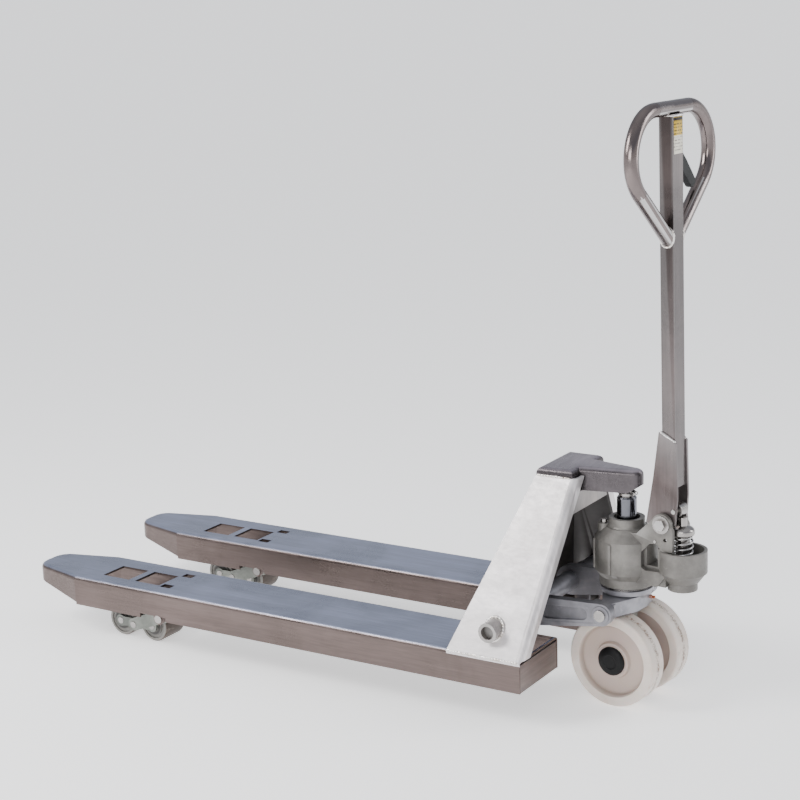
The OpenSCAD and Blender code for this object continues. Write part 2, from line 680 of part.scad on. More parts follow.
// Helical wire between the bowl's floor and the cap
module return_spring() {
    sides = 8;
    steps = 20;
    n = spring_turns * steps;
    z0 = bowl_floor_z + wire_r + 0.1;
    rise = cap_z - bowl_floor_z - 2 * wire_r - 0.2;
    points = [for (i = [0:n]) for (k = [0:sides - 1]) let (
        a = 360 * i / steps,
        b = 360 * k / sides,
        r = spring_r + wire_r * cos(b))
        [r * cos(a), r * sin(a), z0 + rise * i / n + wire_r * sin(b)]];
    faces = concat(
        [[for (k = [0:sides - 1]) k]],
        [for (i = [0:n - 1]) for (k = [0:sides - 1]) let (k2 = (k + 1) % sides)
            [i * sides + k, (i + 1) * sides + k, (i + 1) * sides + k2, i * sides + k2]],
        [[for (k = [sides - 1:-1:0]) n * sides + k]]);
    color([0.74, 0.75, 0.77]) steered() translate([bowl_x, 0, 0]) polyhedron(points, faces);
}
module release_lever() {
    color([0.45, 0.45, 0.47]) steered() difference() {
        plate_xz(0, 12)
            polygon([[81, 361], [73, 358], [72, 365], [82, 371], [86, 388], [93, 388], [95, 367], [91, 359]]);
        bar_y(88, 0, 366, 3 + fit, 40);
    }
}

// ---------- handle ----------
module drawbar_tube() {
    color([0.6, 0.57, 0.56]) handle() difference() {
        translate([tube_x - tube_w / 2, -tube_d / 2, tube_foot])
            cube([tube_w, tube_d, loop_top - loop_tube_r - tube_foot + 4]);
        translate([tube_x - tube_w / 2 + tube_t, -tube_d / 2 + tube_t, tube_foot - 1])
            cube([tube_w - 2 * tube_t, tube_d - 2 * tube_t, loop_top - tube_foot + 10]);
        translate([tube_x, 0, loop_top]) ycyl(loop_tube_r, 80);
        // slot for the control lever
        translate([tube_x - 8.5, 10, lever_pivot_z - 48]) cube([17, 20, 66]);
    }
}
// Loop grip: top bar, a bend at each corner and two legs that run down to the drawbar
module handle_loop() {
    knee_y = loop_half + loop_r * cos(leg_angle);
    knee_z = loop_top - loop_r - loop_r * sin(leg_angle);
    leg_len = (knee_y - 9.5) / sin(leg_angle);
    color([0.72, 0.7, 0.7]) handle() translate([tube_x, 0, 0]) {
        translate([0, 0, loop_top]) ycyl(loop_tube_r, 2 * loop_half);
        for (s = [0, 1]) mirror([0, s, 0]) difference() {
            union() {
                translate([0, loop_half, loop_top - loop_r]) rotate([0, -90, 0])
                    rotate_extrude(angle = leg_angle + 90) translate([loop_r, 0]) circle(loop_tube_r - 0.2);
                translate([0, knee_y, knee_z]) rotate([180 - leg_angle, 0, 0])
                    cylinder(r = loop_tube_r, h = leg_len);
            }
            translate([-tube_w / 2, -tube_d / 2, 0]) cube([tube_w, tube_d, loop_top - 60]);
        }
    }
}
module bracket_outline() {
    polygon([[-42, -3], [-12, -12], [0, -17], [12, -8], [26, -2], [31, 55], [29, 171], [-10, 192], [-24, 96]]);
    circle(17);
}
module handle_brackets() {
    color([0.58, 0.55, 0.54]) handle() for (s = [-1, 1]) difference() {
        plate_xz(s * (tube_d / 2 + bracket_t / 2), bracket_t) bracket_outline();
        ycyl(8 + fit, 100);
        bar_y(press_x, 0, press_z, 5 + fit, 100);
    }
}
// Bolt through the ears with washers, head and nut; it stays with the pump
module pivot_bolt() {
    color([0.7, 0.71, 0.72]) steered() translate([pivot_x, 0, pivot_z]) {
        ycyl(8, 2 * ear_y + ear_t + 20);
        for (s = [-1, 1]) translate([0, s * (ear_y + ear_t / 2), 0]) {
            translate([0, s * 1.5, 0]) ycyl(19, 3);
            translate([0, s * 6.5, 0]) rotate([90, 0, 0]) cylinder(r = 12.5, h = 7.5, center = true, $fn = 6);
        }
    }
}
module press_roller_pin() {
    color([0.66, 0.64, 0.63]) handle() bar_y(press_x, 0, press_z, 5, tube_d + 2 * bracket_t + 3);
}
module press_roller() {
    color([0.64, 0.64, 0.65]) handle() translate([press_x, 0, press_z]) difference() {
        ycyl(press_r, 26);
        ycyl(5 + fit, 40);
    }
}
module label_plate() {
    color([0.92, 0.8, 0.3]) handle() translate([tube_x + tube_w / 2, -17, 754]) cube([0.6, 34, 72]);
}
// Control lever, drawn about its pivot, swinging out of the tube's side
module control_lever() {
    color([0.07, 0.07, 0.08]) handle() translate([tube_x, 0, lever_pivot_z]) difference() {
        rotate([90, 0, 90]) linear_extrude(14, center = true) {
            circle(9);
            polygon([[-2, 9], [-4, -8], [70, -82], [76, -85], [87, -76], [86, -68], [52, -28], [16, 8]]);
        }
        rotate([0, 90, 0]) cylinder(r = 3 + fit, h = 40, center = true);
    }
}
module control_pin() {
    color([0.6, 0.6, 0.6]) handle() translate([tube_x, 0, lever_pivot_z]) rotate([0, 90, 0])
        cylinder(r = 3, h = tube_w - 2 * tube_t - 0.1, center = true);
}
module pull_rod() {
    color([0.6, 0.6, 0.6]) handle() translate([tube_x, -10, 100]) {
        cylinder(r = 3, h = lever_pivot_z - 125);
        translate([0, 0, -2]) sphere(r = 5);
    }
}

fork_left();
fork_right();
toe_left();
toe_right();
heel_plates();
side_plate_left();
side_plate_right();
bridge_cap();
bulkhead();
front_web();
pivot_bosses();
torsion_shaft();
frame_shafts();
ram();
ram_head();
ram_clip();
rocker();
rocker_pins();
push_rod_left();
push_rod_right();
wheel_frame_left();
wheel_frame_right();
bogie_pin_left();
bogie_pin_right();
bogie_left();
bogie_right();
roller_axles_left();
roller_axles_right();
roller_left_toe();
roller_left_heel();
roller_right_toe();
roller_right_heel();
base_plate();
grease_nipple();
thrust_bearing();
pump_casting();
gland_ring();
pump_fasteners();
steer_axle();
axle_circlips();
steer_wheel_left();
steer_wheel_right();
wheel_bearings_left();
wheel_bearings_right();
hub_cap_left();
hub_cap_right();
pump_piston();
return_spring();
release_lever();
drawbar_tube();
handle_loop();
handle_brackets();
pivot_bolt();
press_roller();
press_roller_pin();
label_plate();
control_lever();
control_pin();
pull_rod();
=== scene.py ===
"""Pallet jack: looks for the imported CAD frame, in the part's own frame.

The scene is in metres. Places on the part are given in millimetres and pass through world, steered
or on_handle.
"""
import math
import random

import bmesh
import bpy
from mathutils import Matrix, Vector

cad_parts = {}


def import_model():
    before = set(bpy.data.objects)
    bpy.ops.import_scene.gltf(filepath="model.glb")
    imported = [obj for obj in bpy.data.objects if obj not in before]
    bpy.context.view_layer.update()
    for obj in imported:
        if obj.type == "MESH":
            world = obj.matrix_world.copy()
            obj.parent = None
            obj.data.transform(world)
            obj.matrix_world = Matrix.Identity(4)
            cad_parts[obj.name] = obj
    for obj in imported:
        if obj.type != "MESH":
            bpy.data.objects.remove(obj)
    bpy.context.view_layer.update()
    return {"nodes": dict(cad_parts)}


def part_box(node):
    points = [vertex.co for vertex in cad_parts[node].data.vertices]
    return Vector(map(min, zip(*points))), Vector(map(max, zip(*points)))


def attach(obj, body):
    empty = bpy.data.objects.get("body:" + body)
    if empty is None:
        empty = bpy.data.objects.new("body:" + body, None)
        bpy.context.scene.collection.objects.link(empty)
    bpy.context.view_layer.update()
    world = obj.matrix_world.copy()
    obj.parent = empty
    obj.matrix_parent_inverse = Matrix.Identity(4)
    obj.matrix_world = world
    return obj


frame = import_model()
nodes = frame["nodes"]
scene = bpy.context.scene

MM = 0.001
HEEL_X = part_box("heel_plates")[1].x  # heel end of the forks along X
STEER_X = HEEL_X + 111.4 * MM  # steering axis along X
STEER_REST = math.radians(-5)
HANDLE_LEAN = math.radians(-0.75)
PIVOT_X, PIVOT_Z = 102, 404  # drawbar's pivot in the pump's frame
WHEEL = (6, 55, 100)  # left steering wheel's centre in the pump's frame


def world(x, y, z):
    """A point measured in millimetres from the heel end of the forks."""
    return Vector((HEEL_X + x * MM, y * MM, z * MM))


def steered(x, y, z):
    """A point in millimetres in the pump's frame, which is turned about the steering axis."""
    c, s = math.cos(STEER_REST), math.sin(STEER_REST)
    return Vector((STEER_X + (x * c - y * s) * MM, (x * s + y * c) * MM, z * MM))


def on_handle(x, y, z):
    """A point in millimetres in the drawbar's frame, whose origin is its pivot."""
    c, s = math.cos(HANDLE_LEAN), math.sin(HANDLE_LEAN)
    return steered(PIVOT_X + x * c + z * s, y, PIVOT_Z - x * s + z * c)


# ---------------------------------------------------------------- camera, light and floor
def make_camera():
    yaw, pitch, roll = (math.radians(a) for a in (32.44, 13.32, -1.86))
    d = Vector((-math.sin(yaw) * math.cos(pitch), math.cos(yaw) * math.cos(pitch), -math.sin(pitch)))
    right = Vector((math.cos(yaw), math.sin(yaw), 0))
    up = right.cross(d)
    r2 = right * math.cos(roll) + up * math.sin(roll)
    u2 = up * math.cos(roll) - right * math.sin(roll)
    cam = bpy.data.cameras.new("camera")
    cam.lens = 82.3086
    cam.sensor_width = 36
    cam.clip_end = 500
    ob = bpy.data.objects.new("camera", cam)
    scene.collection.objects.link(ob)
    m = Matrix((r2, u2, -d)).transposed().to_4x4()
    m.translation = world(1686.6, -3350.23, 1532.16)
    ob.matrix_world = m
    scene.camera = ob


def area_light(name, at, target, size, power, color=(1, 1, 1), size_y=None):
    light = bpy.data.lights.new(name, "AREA")
    light.shape = "RECTANGLE"
    light.size = size
    light.size_y = size_y or size
    light.energy = power
    light.color = color
    ob = bpy.data.objects.new(name, light)
    scene.collection.objects.link(ob)
    ob.location = at
    ob.rotation_euler = (Vector(target) - Vector(at)).to_track_quat("-Z", "Y").to_euler()


make_camera()
area_light("key", (-1.7, -1.9, 2.5), (0.1, -0.1, 0.2), 1.5, 92, (1, 0.985, 0.97))
area_light("front", (1.0, -4.2, 1.9), (0.2, 0, 0.4), 2.6, 70, (1, 0.99, 0.98), 1.4)
area_light("rim", (2.9, 1.6, 1.7), (0.5, 0, 0.5), 1.0, 34, (0.97, 0.985, 1), 1.8)


def make_world():
    """A pale horizon under a darker, cooler ceiling, so that bare metal has something to reflect."""
    world_data = bpy.data.worlds.new("studio")
    scene.world = world_data
    world_data.use_nodes = True
    tree = world_data.node_tree
    coord = tree.nodes.new("ShaderNodeTexCoord")
    split = tree.nodes.new("ShaderNodeSeparateXYZ")
    ramp = tree.nodes.new("ShaderNodeValToRGB")
    tree.links.new(coord.outputs["Generated"], split.inputs[0])
    tree.links.new(split.outputs[2], ramp.inputs[0])
    stops = ((0.0, (1.0, 1.0, 1.0)), (0.1, (0.98, 0.985, 1.0)), (0.32, (0.42, 0.45, 0.52)),
             (0.62, (0.5, 0.52, 0.57)), (1.0, (0.82, 0.84, 0.88)))
    while len(ramp.color_ramp.elements) < len(stops):
        ramp.color_ramp.elements.new(0.5)
    for element, (at, color) in zip(ramp.color_ramp.elements, stops):
        element.position = at
        element.color = (*color, 1)
    tree.links.new(ramp.outputs[0], tree.nodes["Background"].inputs[0])
    tree.nodes["Background"].inputs[1].default_value = 1.0


make_world()


# ---------------------------------------------------------------- shader building
class Shader:
    """A material and short calls that add and join its nodes."""

    def __init__(self, name):
        self.mat = bpy.data.materials.new(name)
        self.mat.use_nodes = True
        self.tree = self.mat.node_tree
        self.bsdf = self.tree.nodes["Principled BSDF"]
        self.coord = self.add("TexCoord")

    def add(self, kind, **values):
        node = self.tree.nodes.new("ShaderNode" + kind)
        for key, value in values.items():
            setattr(node, key, value)
        return node

    def link(self, a, b):
        self.tree.links.new(a, b)

    def put(self, socket, value):
        if isinstance(value, bpy.types.NodeSocket):
            self.link(value, socket)
        else:
            socket.default_value = value

    def math(self, op, a, b=0.0, clamp=False):
        node = self.add("Math", operation=op, use_clamp=clamp)
        self.put(node.inputs[0], a)
        self.put(node.inputs[1], b)
        return node.outputs[0]

    def vmath(self, op, a, b):
        node = self.add("VectorMath", operation=op)
        self.put(node.inputs[0], a)
        self.put(node.inputs[1], b)
        return node

    def scaled(self, scale, turn=(0, 0, 0)):
        node = self.add("Mapping")
        node.inputs["Rotation"].default_value = turn
        node.inputs["Scale"].default_value = scale
        self.link(self.coord.outputs["Object"], node.inputs["Vector"])
        return node.outputs[0]

    def noise(self, scale, detail=3.0, rough=0.55, turn=(0, 0, 0), distortion=0.0):
        if not isinstance(scale, tuple):
            scale = (scale,) * 3
        node = self.add("TexNoise")
        node.inputs["Scale"].default_value = 1.0
        node.inputs["Detail"].default_value = detail
        node.inputs["Roughness"].default_value = rough
        node.inputs["Distortion"].default_value = distortion
        self.link(self.scaled(scale, turn), node.inputs["Vector"])
        return node.outputs[0]

    def ramp(self, value, lo, hi, out_lo=0.0, out_hi=1.0):
        node = self.add("MapRange", interpolation_type="SMOOTHSTEP")
        self.put(node.inputs["Value"], value)
        for key, number in (("From Min", lo), ("From Max", hi), ("To Min", out_lo), ("To Max", out_hi)):
            node.inputs[key].default_value = number
        return node.outputs[0]

    def mix(self, factor, a, b, mode="MIX"):
        node = self.add("Mix", data_type="RGBA", blend_type=mode)
        self.put(node.inputs[0], factor)
        self.put(node.inputs[6], a if isinstance(a, bpy.types.NodeSocket) else (*a, 1))
        self.put(node.inputs[7], b if isinstance(b, bpy.types.NodeSocket) else (*b, 1))
        return node.outputs[2]

    def xyz(self, kind):
        """The X, Y and Z sockets of one kind of texture coordinate."""
        split = self.add("SeparateXYZ")
        self.link(self.coord.outputs[kind], split.inputs[0])
        return split.outputs

    def edge(self, lo=0.53, hi=0.6):
        """1 on convex edges, 0 on flats."""
        return self.ramp(self.add("NewGeometry").outputs["Pointiness"], lo, hi)

    def upward(self, lo=0.5, hi=0.9):
        """1 where the surface faces up."""
        return self.ramp(self.xyz("Normal")[2], lo, hi)

    def bump(self, height, distance, strength=1.0, under=None):
        node = self.add("Bump")
        node.inputs["Distance"].default_value = distance
        node.inputs["Strength"].default_value = strength
        self.put(node.inputs["Height"], height)
        if under is not None:
            self.link(under, node.inputs["Normal"])
        return node.outputs[0]

    def finish(self, color, rough, normal=None, metallic=0.0, **uniform):
        plain = not isinstance(color, bpy.types.NodeSocket)
        self.put(self.bsdf.inputs["Base Color"], (*color, 1) if plain else color)
        self.put(self.bsdf.inputs["Roughness"], rough)
        self.bsdf.inputs["Metallic"].default_value = metallic
        if normal is not None:
            self.link(normal, self.bsdf.inputs["Normal"])
        for key, value in uniform.items():
            self.bsdf.inputs[key.replace("_", " ")].default_value = value
        return self.mat


def srgb(r, g, b):
    """Linear colour from 0-255 screen values."""
    screen = (r / 255, g / 255, b / 255)
    return tuple(c / 12.92 if c <= 0.04045 else ((c + 0.055) / 1.055) ** 2.4 for c in screen)


def shade(tint, by, lift=0.0):
    """A tint made darker or lighter, held below white."""
    return tuple(min(1, c * by + lift) for c in tint)


def brushed(name, side, top, grain, rough=0.34, metallic=0.85, spread=0.16, streak=0.5,
            smear=5.0, rub=0.6, patch=0.38, inward=0):
    """Stainless sheet: a top tint on faces that look up and a side tint elsewhere, a split that paints light
    and reflection, with grain, smears and rubbed edges.

    The last argument is the sign along Y of the faces painted nearly black as shade, or 0 for none.
    """
    s = Shader(name)
    lines = s.noise(grain, 4, 0.65)
    bands = s.noise(tuple(g * 0.12 for g in grain), 3, 0.6)
    clouds = s.noise(smear, 4, 0.6, distortion=0.6)
    fine = s.noise(240, 2, 0.5)
    # Painted light: faces that look up take the top tint and the rest the side tint, as light and reflection
    # fall on them.
    color = s.mix(s.upward(), side, top)
    # Painted shade: the faces pointing inward along Y are mixed to a near-black tint.
    if inward:
        inward_shade = s.ramp(s.math("MULTIPLY", s.xyz("Normal")[1], inward), 0.3, 0.6)
        color = s.mix(inward_shade, color, (0.035, 0.028, 0.026))
    patches = s.mix(s.ramp(clouds, 0.36, 0.66), (1 - patch,) * 3, (1.12, 1.12, 1.13))
    color = s.mix(1.0, color, patches, "MULTIPLY")
    streaks = s.mix(1.0, color, (1.9, 1.9, 1.95), "MULTIPLY")
    color = s.mix(s.ramp(bands, 0.42, 0.68, 0, streak), color, streaks)
    scores = s.mix(1.0, color, (0.6, 0.6, 0.62), "MULTIPLY")
    color = s.mix(s.ramp(lines, 0.3, 0.7, 0, 0.3), color, scores)
    color = s.mix(s.math("MULTIPLY", s.edge(), rub), color, (0.7, 0.69, 0.69))
    haze = s.ramp(clouds, 0.3, 0.7, rough - spread / 2, rough + spread / 2)
    r = s.math("ADD", haze, s.ramp(lines, 0.3, 0.7, -0.05, 0.06))
    normal = s.bump(lines, 0.00025, 0.5)
    normal = s.bump(fine, 0.00008, 0.35, normal)
    return s.finish(color, r, normal, metallic)


def turned(name, tint, rough=0.25, metallic=1.0, rings=900.0, dirt=0.25):
    """Machined or ground pins and shafts."""
    s = Shader(name)
    cloud = s.noise(30, 3, 0.6)
    fine = s.noise((rings, rings * 0.2, rings), 2, 0.5)
    color = s.mix(s.ramp(cloud, 0.35, 0.7, 0, dirt), tint, shade(tint, 0.45))
    color = s.mix(s.math("MULTIPLY", s.edge(), 0.5), color, (0.85, 0.85, 0.85))
    haze = s.ramp(cloud, 0.3, 0.7, rough - 0.06, rough + 0.12)
    return s.finish(color, haze, s.bump(fine, 0.0001, 0.4), metallic)


def cast(name, tint, dark, rough=0.45, metallic=0.35, grain=420.0, depth=0.00035):
    """Sand-cast and painted or blasted metal: grainy, mottled, with rubbed edges and painted shade in the
    corners.
    """
    s = Shader(name)
    cloud = s.noise(16, 4, 0.6)
    mottle = s.noise(90, 4, 0.7)
    sand = s.noise(grain, 3, 0.7)
    color = s.mix(s.ramp(cloud, 0.3, 0.72), dark, tint)
    color = s.mix(s.ramp(mottle, 0.55, 0.75, 0, 0.35), color, shade(tint, 1.35))
    # Painted shade: concave places, found by pointiness, are darkened towards a near-black tint.
    crevice_shade = s.ramp(s.add("NewGeometry").outputs["Pointiness"], 0.42, 0.5, 0.75, 0)
    color = s.mix(crevice_shade, color, shade(dark, 0.3))
    color = s.mix(s.math("MULTIPLY", s.edge(), 0.3), color, (0.6, 0.59, 0.57))
    grit = s.math("ADD", s.math("MULTIPLY", sand, 0.6), s.math("MULTIPLY", mottle, 0.8))
    normal = s.bump(grit, depth, 0.8)
    return s.finish(color, s.ramp(mottle, 0.3, 0.7, rough - 0.08, rough + 0.12), normal, metallic)


def plastic(name, tint, rough=0.5, grain=700.0, depth=0.00012, **uniform):
    """Moulded plastic or rubber with a fine grain and paler edges."""
    s = Shader(name)
    cloud = s.noise(20, 3, 0.6)
    color = s.mix(s.ramp(cloud, 0.3, 0.7), shade(tint, 0.75), shade(tint, 1.2))
    color = s.mix(s.math("MULTIPLY", s.edge(), 0.4), color, shade(tint, 2, 0.05))
    return s.finish(color, s.ramp(cloud, 0.3, 0.7, rough - 0.08, rough + 0.1),
                    s.bump(s.noise(grain, 2, 0.5), depth, 0.6), 0.0, **uniform)


def axle_distance(s, centre, axis):
    """Sockets: distance from an axle and distance along it, in metres."""
    p = s.vmath("SUBTRACT", s.coord.outputs["Object"], centre).outputs[0]
    along = s.vmath("DOT_PRODUCT", p, axis).outputs["Value"]
    scaled = s.add("VectorMath", operation="SCALE")
    scaled.inputs[0].default_value = axis
    s.link(along, scaled.inputs["Scale"])
    across = s.vmath("SUBTRACT", p, scaled.outputs[0]).outputs[0]
    return s.vmath("LENGTH", across, across).outputs["Value"], along


def nylon_wheel(name, centre, axis):
    """Cream nylon: paler rim, pinker web, pits along the tread's middle and a darker band in the recess
    corner.
    """
    s = Shader(name)
    radius, along = axle_distance(s, centre, axis)
    cloud = s.noise(14, 4, 0.6)
    web = s.ramp(radius, 0.074, 0.08, 1, 0)
    color = s.mix(web, srgb(220, 209, 200), srgb(182, 164, 156))
    color = s.mix(s.ramp(cloud, 0.35, 0.7, 0, 0.35), color, srgb(190, 174, 156))
    off = s.math("ABSOLUTE", along)
    middle = s.math("MULTIPLY", s.ramp(off, 0.001, 0.009, 1, 0), s.ramp(radius, 0.094, 0.097))
    pits = s.noise(260, 3, 0.75)
    worn = s.noise((55, 55, 55), 4, 0.7)
    spots = s.ramp(s.math("ADD", pits, s.math("MULTIPLY", worn, 0.6)), 0.7, 0.95)
    dirt = s.math("MULTIPLY", middle, spots, clamp=True)
    color = s.mix(dirt, color, srgb(112, 86, 66))
    tread = s.math("MULTIPLY", s.ramp(radius, 0.096, 0.099), s.ramp(worn, 0.5, 0.75, 0, 0.4))
    color = s.mix(tread, color, srgb(150, 132, 112))
    # A darker band where the web meets the rim.
    corner = s.math("MULTIPLY", s.ramp(radius, 0.069, 0.0745), s.ramp(radius, 0.0785, 0.0755))
    color = s.mix(s.math("MULTIPLY", corner, 0.45), color, srgb(150, 132, 118))
    rings = s.math("SINE", s.math("MULTIPLY", radius, 2600))
    normal = s.bump(rings, 0.00004, 0.5)
    normal = s.bump(pits, 0.00025, 0.5, normal)
    return s.finish(color, s.ramp(cloud, 0.3, 0.7, 0.36, 0.5), normal, 0.0,
                    Subsurface_Weight=0.12, Subsurface_Scale=0.01)


def roller_material(name, centre):
    """Load roller: bright worn faces and a dark, scuffed tread."""
    s = Shader(name)
    radius = axle_distance(s, centre, (0, 1, 0))[0]
    scuff = s.noise((120, 40, 120), 4, 0.7)
    tread = s.ramp(radius, 0.0365, 0.038)
    color = s.mix(tread, srgb(128, 126, 122), srgb(74, 62, 54))
    color = s.mix(s.ramp(scuff, 0.5, 0.75, 0, 0.7), color, srgb(150, 140, 130))
    groove = s.math("MULTIPLY", s.ramp(radius, 0.012, 0.018), s.ramp(radius, 0.026, 0.02))
    color = s.mix(groove, color, srgb(60, 58, 56))
    return s.finish(color, s.ramp(scuff, 0.3, 0.7, 0.35, 0.55), s.bump(scuff, 0.0003, 0.7), 0.25)


def label_material(name, low, high):
    """A printed plate: pale ground, a yellow panel, a dark head block and short dark bars."""
    s = Shader(name)
    v = s.ramp(s.xyz("Object")[2], low, high)
    v.node.interpolation_type = "LINEAR"
    color = s.mix(s.ramp(v, 0.5, 0.505), srgb(226, 221, 205), srgb(222, 186, 66))
    bars = s.ramp(s.math("SINE", s.math("MULTIPLY", v, 72)), 0.35, 0.5)
    gaps = s.ramp(s.noise((1, 420, 160), 1, 0.5), 0.44, 0.5)
    inside = s.math("MULTIPLY", s.ramp(v, 0.52, 0.54), s.ramp(v, 0.9, 0.88))
    dashes = s.math("MULTIPLY", bars, gaps)
    color = s.mix(s.math("MULTIPLY", dashes, inside), color, srgb(60, 48, 40))
    head = s.math("MULTIPLY", s.ramp(v, 0.9, 0.905), s.ramp(v, 0.99, 0.985))
    color = s.mix(head, color, srgb(52, 46, 44))
    foot = s.math("MULTIPLY", s.ramp(v, 0.06, 0.08), s.ramp(v, 0.47, 0.45))
    low_ink = s.math("MULTIPLY", dashes, foot)
    color = s.mix(s.math("MULTIPLY", low_ink, 0.8), color, srgb(96, 88, 84))
    color = s.mix(s.math("MULTIPLY", s.ramp(s.noise(120, 3), 0.5, 0.75), 0.25), color, srgb(170, 160, 150))
    return s.finish(color, 0.42, s.bump(s.noise(300, 2), 0.00005, 0.5), 0.0)


def make_inner_sheet():
    """The closing plate: painted shade, nearly black, on the face towards the pump and bare sheet towards the
    load.
    """
    s = Shader("inner_sheet")
    cloud = s.noise(9, 4, 0.6)
    bare = s.mix(s.ramp(cloud, 0.35, 0.7), srgb(150, 140, 136), srgb(122, 112, 108))
    # Painted shade: the face towards the pump, picked by the normal along X, is near black.
    pump_side_shade = s.mix(s.ramp(cloud, 0.35, 0.7), srgb(52, 45, 43), srgb(34, 30, 29))
    color = s.mix(s.ramp(s.xyz("Normal")[0], -0.2, 0.2), bare, pump_side_shade)
    return s.finish(color, s.ramp(cloud, 0.3, 0.7, 0.45, 0.65), s.bump(s.noise(160), 0.0002, 0.5), 0.35)


def make_weld():
    """A bright bead with heat tint and a few brown spots."""
    s = Shader("weld")
    lumps = s.noise(130, 3, 0.6)
    heat = s.noise(40, 3, 0.6)
    color = s.mix(s.ramp(heat, 0.35, 0.7), srgb(236, 234, 232), srgb(196, 186, 176))
    color = s.mix(s.ramp(s.noise(70, 2), 0.6, 0.72, 0, 0.6), color, srgb(120, 104, 92))
    return s.finish(color, s.ramp(lumps, 0.3, 0.7, 0.18, 0.4), s.bump(lumps, 0.0006, 0.8), 0.85)


# ---------------------------------------------------------------- materials for the CAD nodes
AXLE_AXIS = tuple(steered(0, 1000, 0) - steered(0, 0, 0))
SHEET_GRAIN = (14, 260, 260)

SIDE_SHEET = {"side": srgb(226, 221, 220), "top": srgb(218, 214, 214), "grain": (60, 240, 20),
              "rough": 0.4, "metallic": 0.6, "streak": 0.3, "smear": 6.0, "rub": 0.2, "patch": 0.2}
HEEL_TINT = srgb(104, 92, 88)
WEB_TINT = srgb(128, 116, 110)
ROD_TINT = srgb(104, 98, 94)

looks = {
    # Fork: the dark brownish side tint and the bluish top tint are painted light; the blue top is a painted
    # reflection of the ceiling.
    "fork": brushed("fork_sheet", srgb(106, 94, 90), srgb(160, 166, 186), SHEET_GRAIN, rough=0.33,
                    smear=5.0, rub=0.0, patch=0.1, metallic=0.92, streak=0.15),
    # Two copies of one sheet that differ only in which side along Y gets painted shade.
    "side_left": brushed("side_sheet_left", inward=-1, **SIDE_SHEET),
    "side_right": brushed("side_sheet_right", inward=1, **SIDE_SHEET),
    "heel": brushed("heel_sheet", HEEL_TINT, HEEL_TINT, (200, 14, 200), rough=0.36, metallic=0.9,
                    rub=0.15, patch=0.2),
    # Bridge: the paler top tint is painted light.
    "bridge": brushed("bridge_sheet", srgb(92, 87, 89), srgb(160, 152, 159), (200, 30, 200), rough=0.34,
                      rub=0.0, patch=0.2, streak=0.2, metallic=0.85),
    "dark": make_inner_sheet(),
    "web": brushed("web_sheet", WEB_TINT, WEB_TINT, (60, 200, 60), rough=0.42, metallic=0.6),
    "casting": cast("pump_casting", srgb(134, 131, 126), srgb(102, 99, 95)),
    "linkage": cast("linkage_casting", srgb(160, 159, 165), srgb(126, 125, 130), rough=0.38,
                    metallic=0.5, depth=0.0002),
    "plates": cast("link_plates", srgb(140, 143, 136), srgb(98, 101, 96), rough=0.38, metallic=0.6,
                   depth=0.0002),
    "rod": brushed("round_bar", ROD_TINT, ROD_TINT, (20, 300, 300), rough=0.4),
    "pin": turned("pins", srgb(160, 156, 153)),
    "dark_pin": turned("shafts", srgb(112, 109, 106), rough=0.38, dirt=0.5),
    "chrome": turned("chrome", srgb(96, 97, 104), rough=0.14, dirt=0.2),
    # Tube: the paler top tint is painted light.
    "tube": brushed("drawbar_tube", srgb(84, 75, 73), srgb(100, 92, 90), (220, 220, 12), rough=0.3,
                    metallic=0.9),
    "loop": turned("loop_tube", srgb(122, 112, 110), rough=0.18, dirt=0.25, rings=500),
    # Bracket: the paler top tint is painted light.
    "bracket": brushed("bracket_sheet", srgb(86, 76, 74), srgb(120, 112, 110), (200, 200, 16), rough=0.32,
                       metallic=0.9),
    "plastic": plastic("black_plastic", srgb(7, 7, 8), rough=0.42, Specular_IOR_Level=0.22),
    "seal": plastic("seal", srgb(30, 30, 32), rough=0.5),
    "copper": turned("copper", srgb(176, 104, 72), rough=0.3, dirt=0.4),
    "weld": make_weld(),
}

node_looks = {
    "fork": ["fork_left", "fork_right", "toe_left", "toe_right"],
    "heel": ["heel_plates"],
    "side_left": ["side_plate_left"],
    "side_right": ["side_plate_right"],
    "bridge": ["bridge_cap"],
    "dark": ["bulkhead"],
    "web": ["front_web"],
    "casting": ["pump_casting"],
    "linkage": ["rocker", "base_plate"],
    "plates": ["wheel_frame_left", "wheel_frame_right", "bogie_left", "bogie_right"],
    "rod": ["push_rod_left", "push_rod_right", "pull_rod", "release_lever"],
    "pin": ["frame_shafts", "rocker_pins", "pivot_bosses", "pump_piston", "return_spring", "bogie_pin_left",
            "bogie_pin_right", "roller_axles_left", "roller_axles_right", "ram_head", "ram_clip",
            "thrust_bearing", "pump_fasteners", "pivot_bolt", "press_roller", "press_roller_pin",
            "control_pin", "wheel_bearings_left", "wheel_bearings_right"],
    "dark_pin": ["torsion_shaft", "steer_axle", "axle_circlips"],
    "chrome": ["ram"],
    "tube": ["drawbar_tube"],
    "loop": ["handle_loop"],
    "bracket": ["handle_brackets"],
    "plastic": ["hub_cap_left", "hub_cap_right", "control_lever"],
    "seal": ["gland_ring"],
    "copper": ["grease_nipple"],
}


def give(ob, mat):
    ob.data.materials.clear()
    ob.data.materials.append(mat)


for look, names in node_looks.items():
    for n in names:
        give(nodes[n], looks[look])
for n, sign in (("left", 1), ("right", -1)):
    centre = tuple(steered(WHEEL[0], sign * WHEEL[1], WHEEL[2]))
    give(nodes["steer_wheel_" + n], nylon_wheel("nylon_" + n, centre, AXLE_AXIS))
    for end in ("toe", "heel"):
        low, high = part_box("roller_%s_%s" % (n, end))
        roller = "roller_%s_%s" % (n, end)
        give(nodes[roller], roller_material(roller, tuple((low + high) / 2)))
low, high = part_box("label_plate")
give(nodes["label_plate"], label_material("label", low.z, high.z))


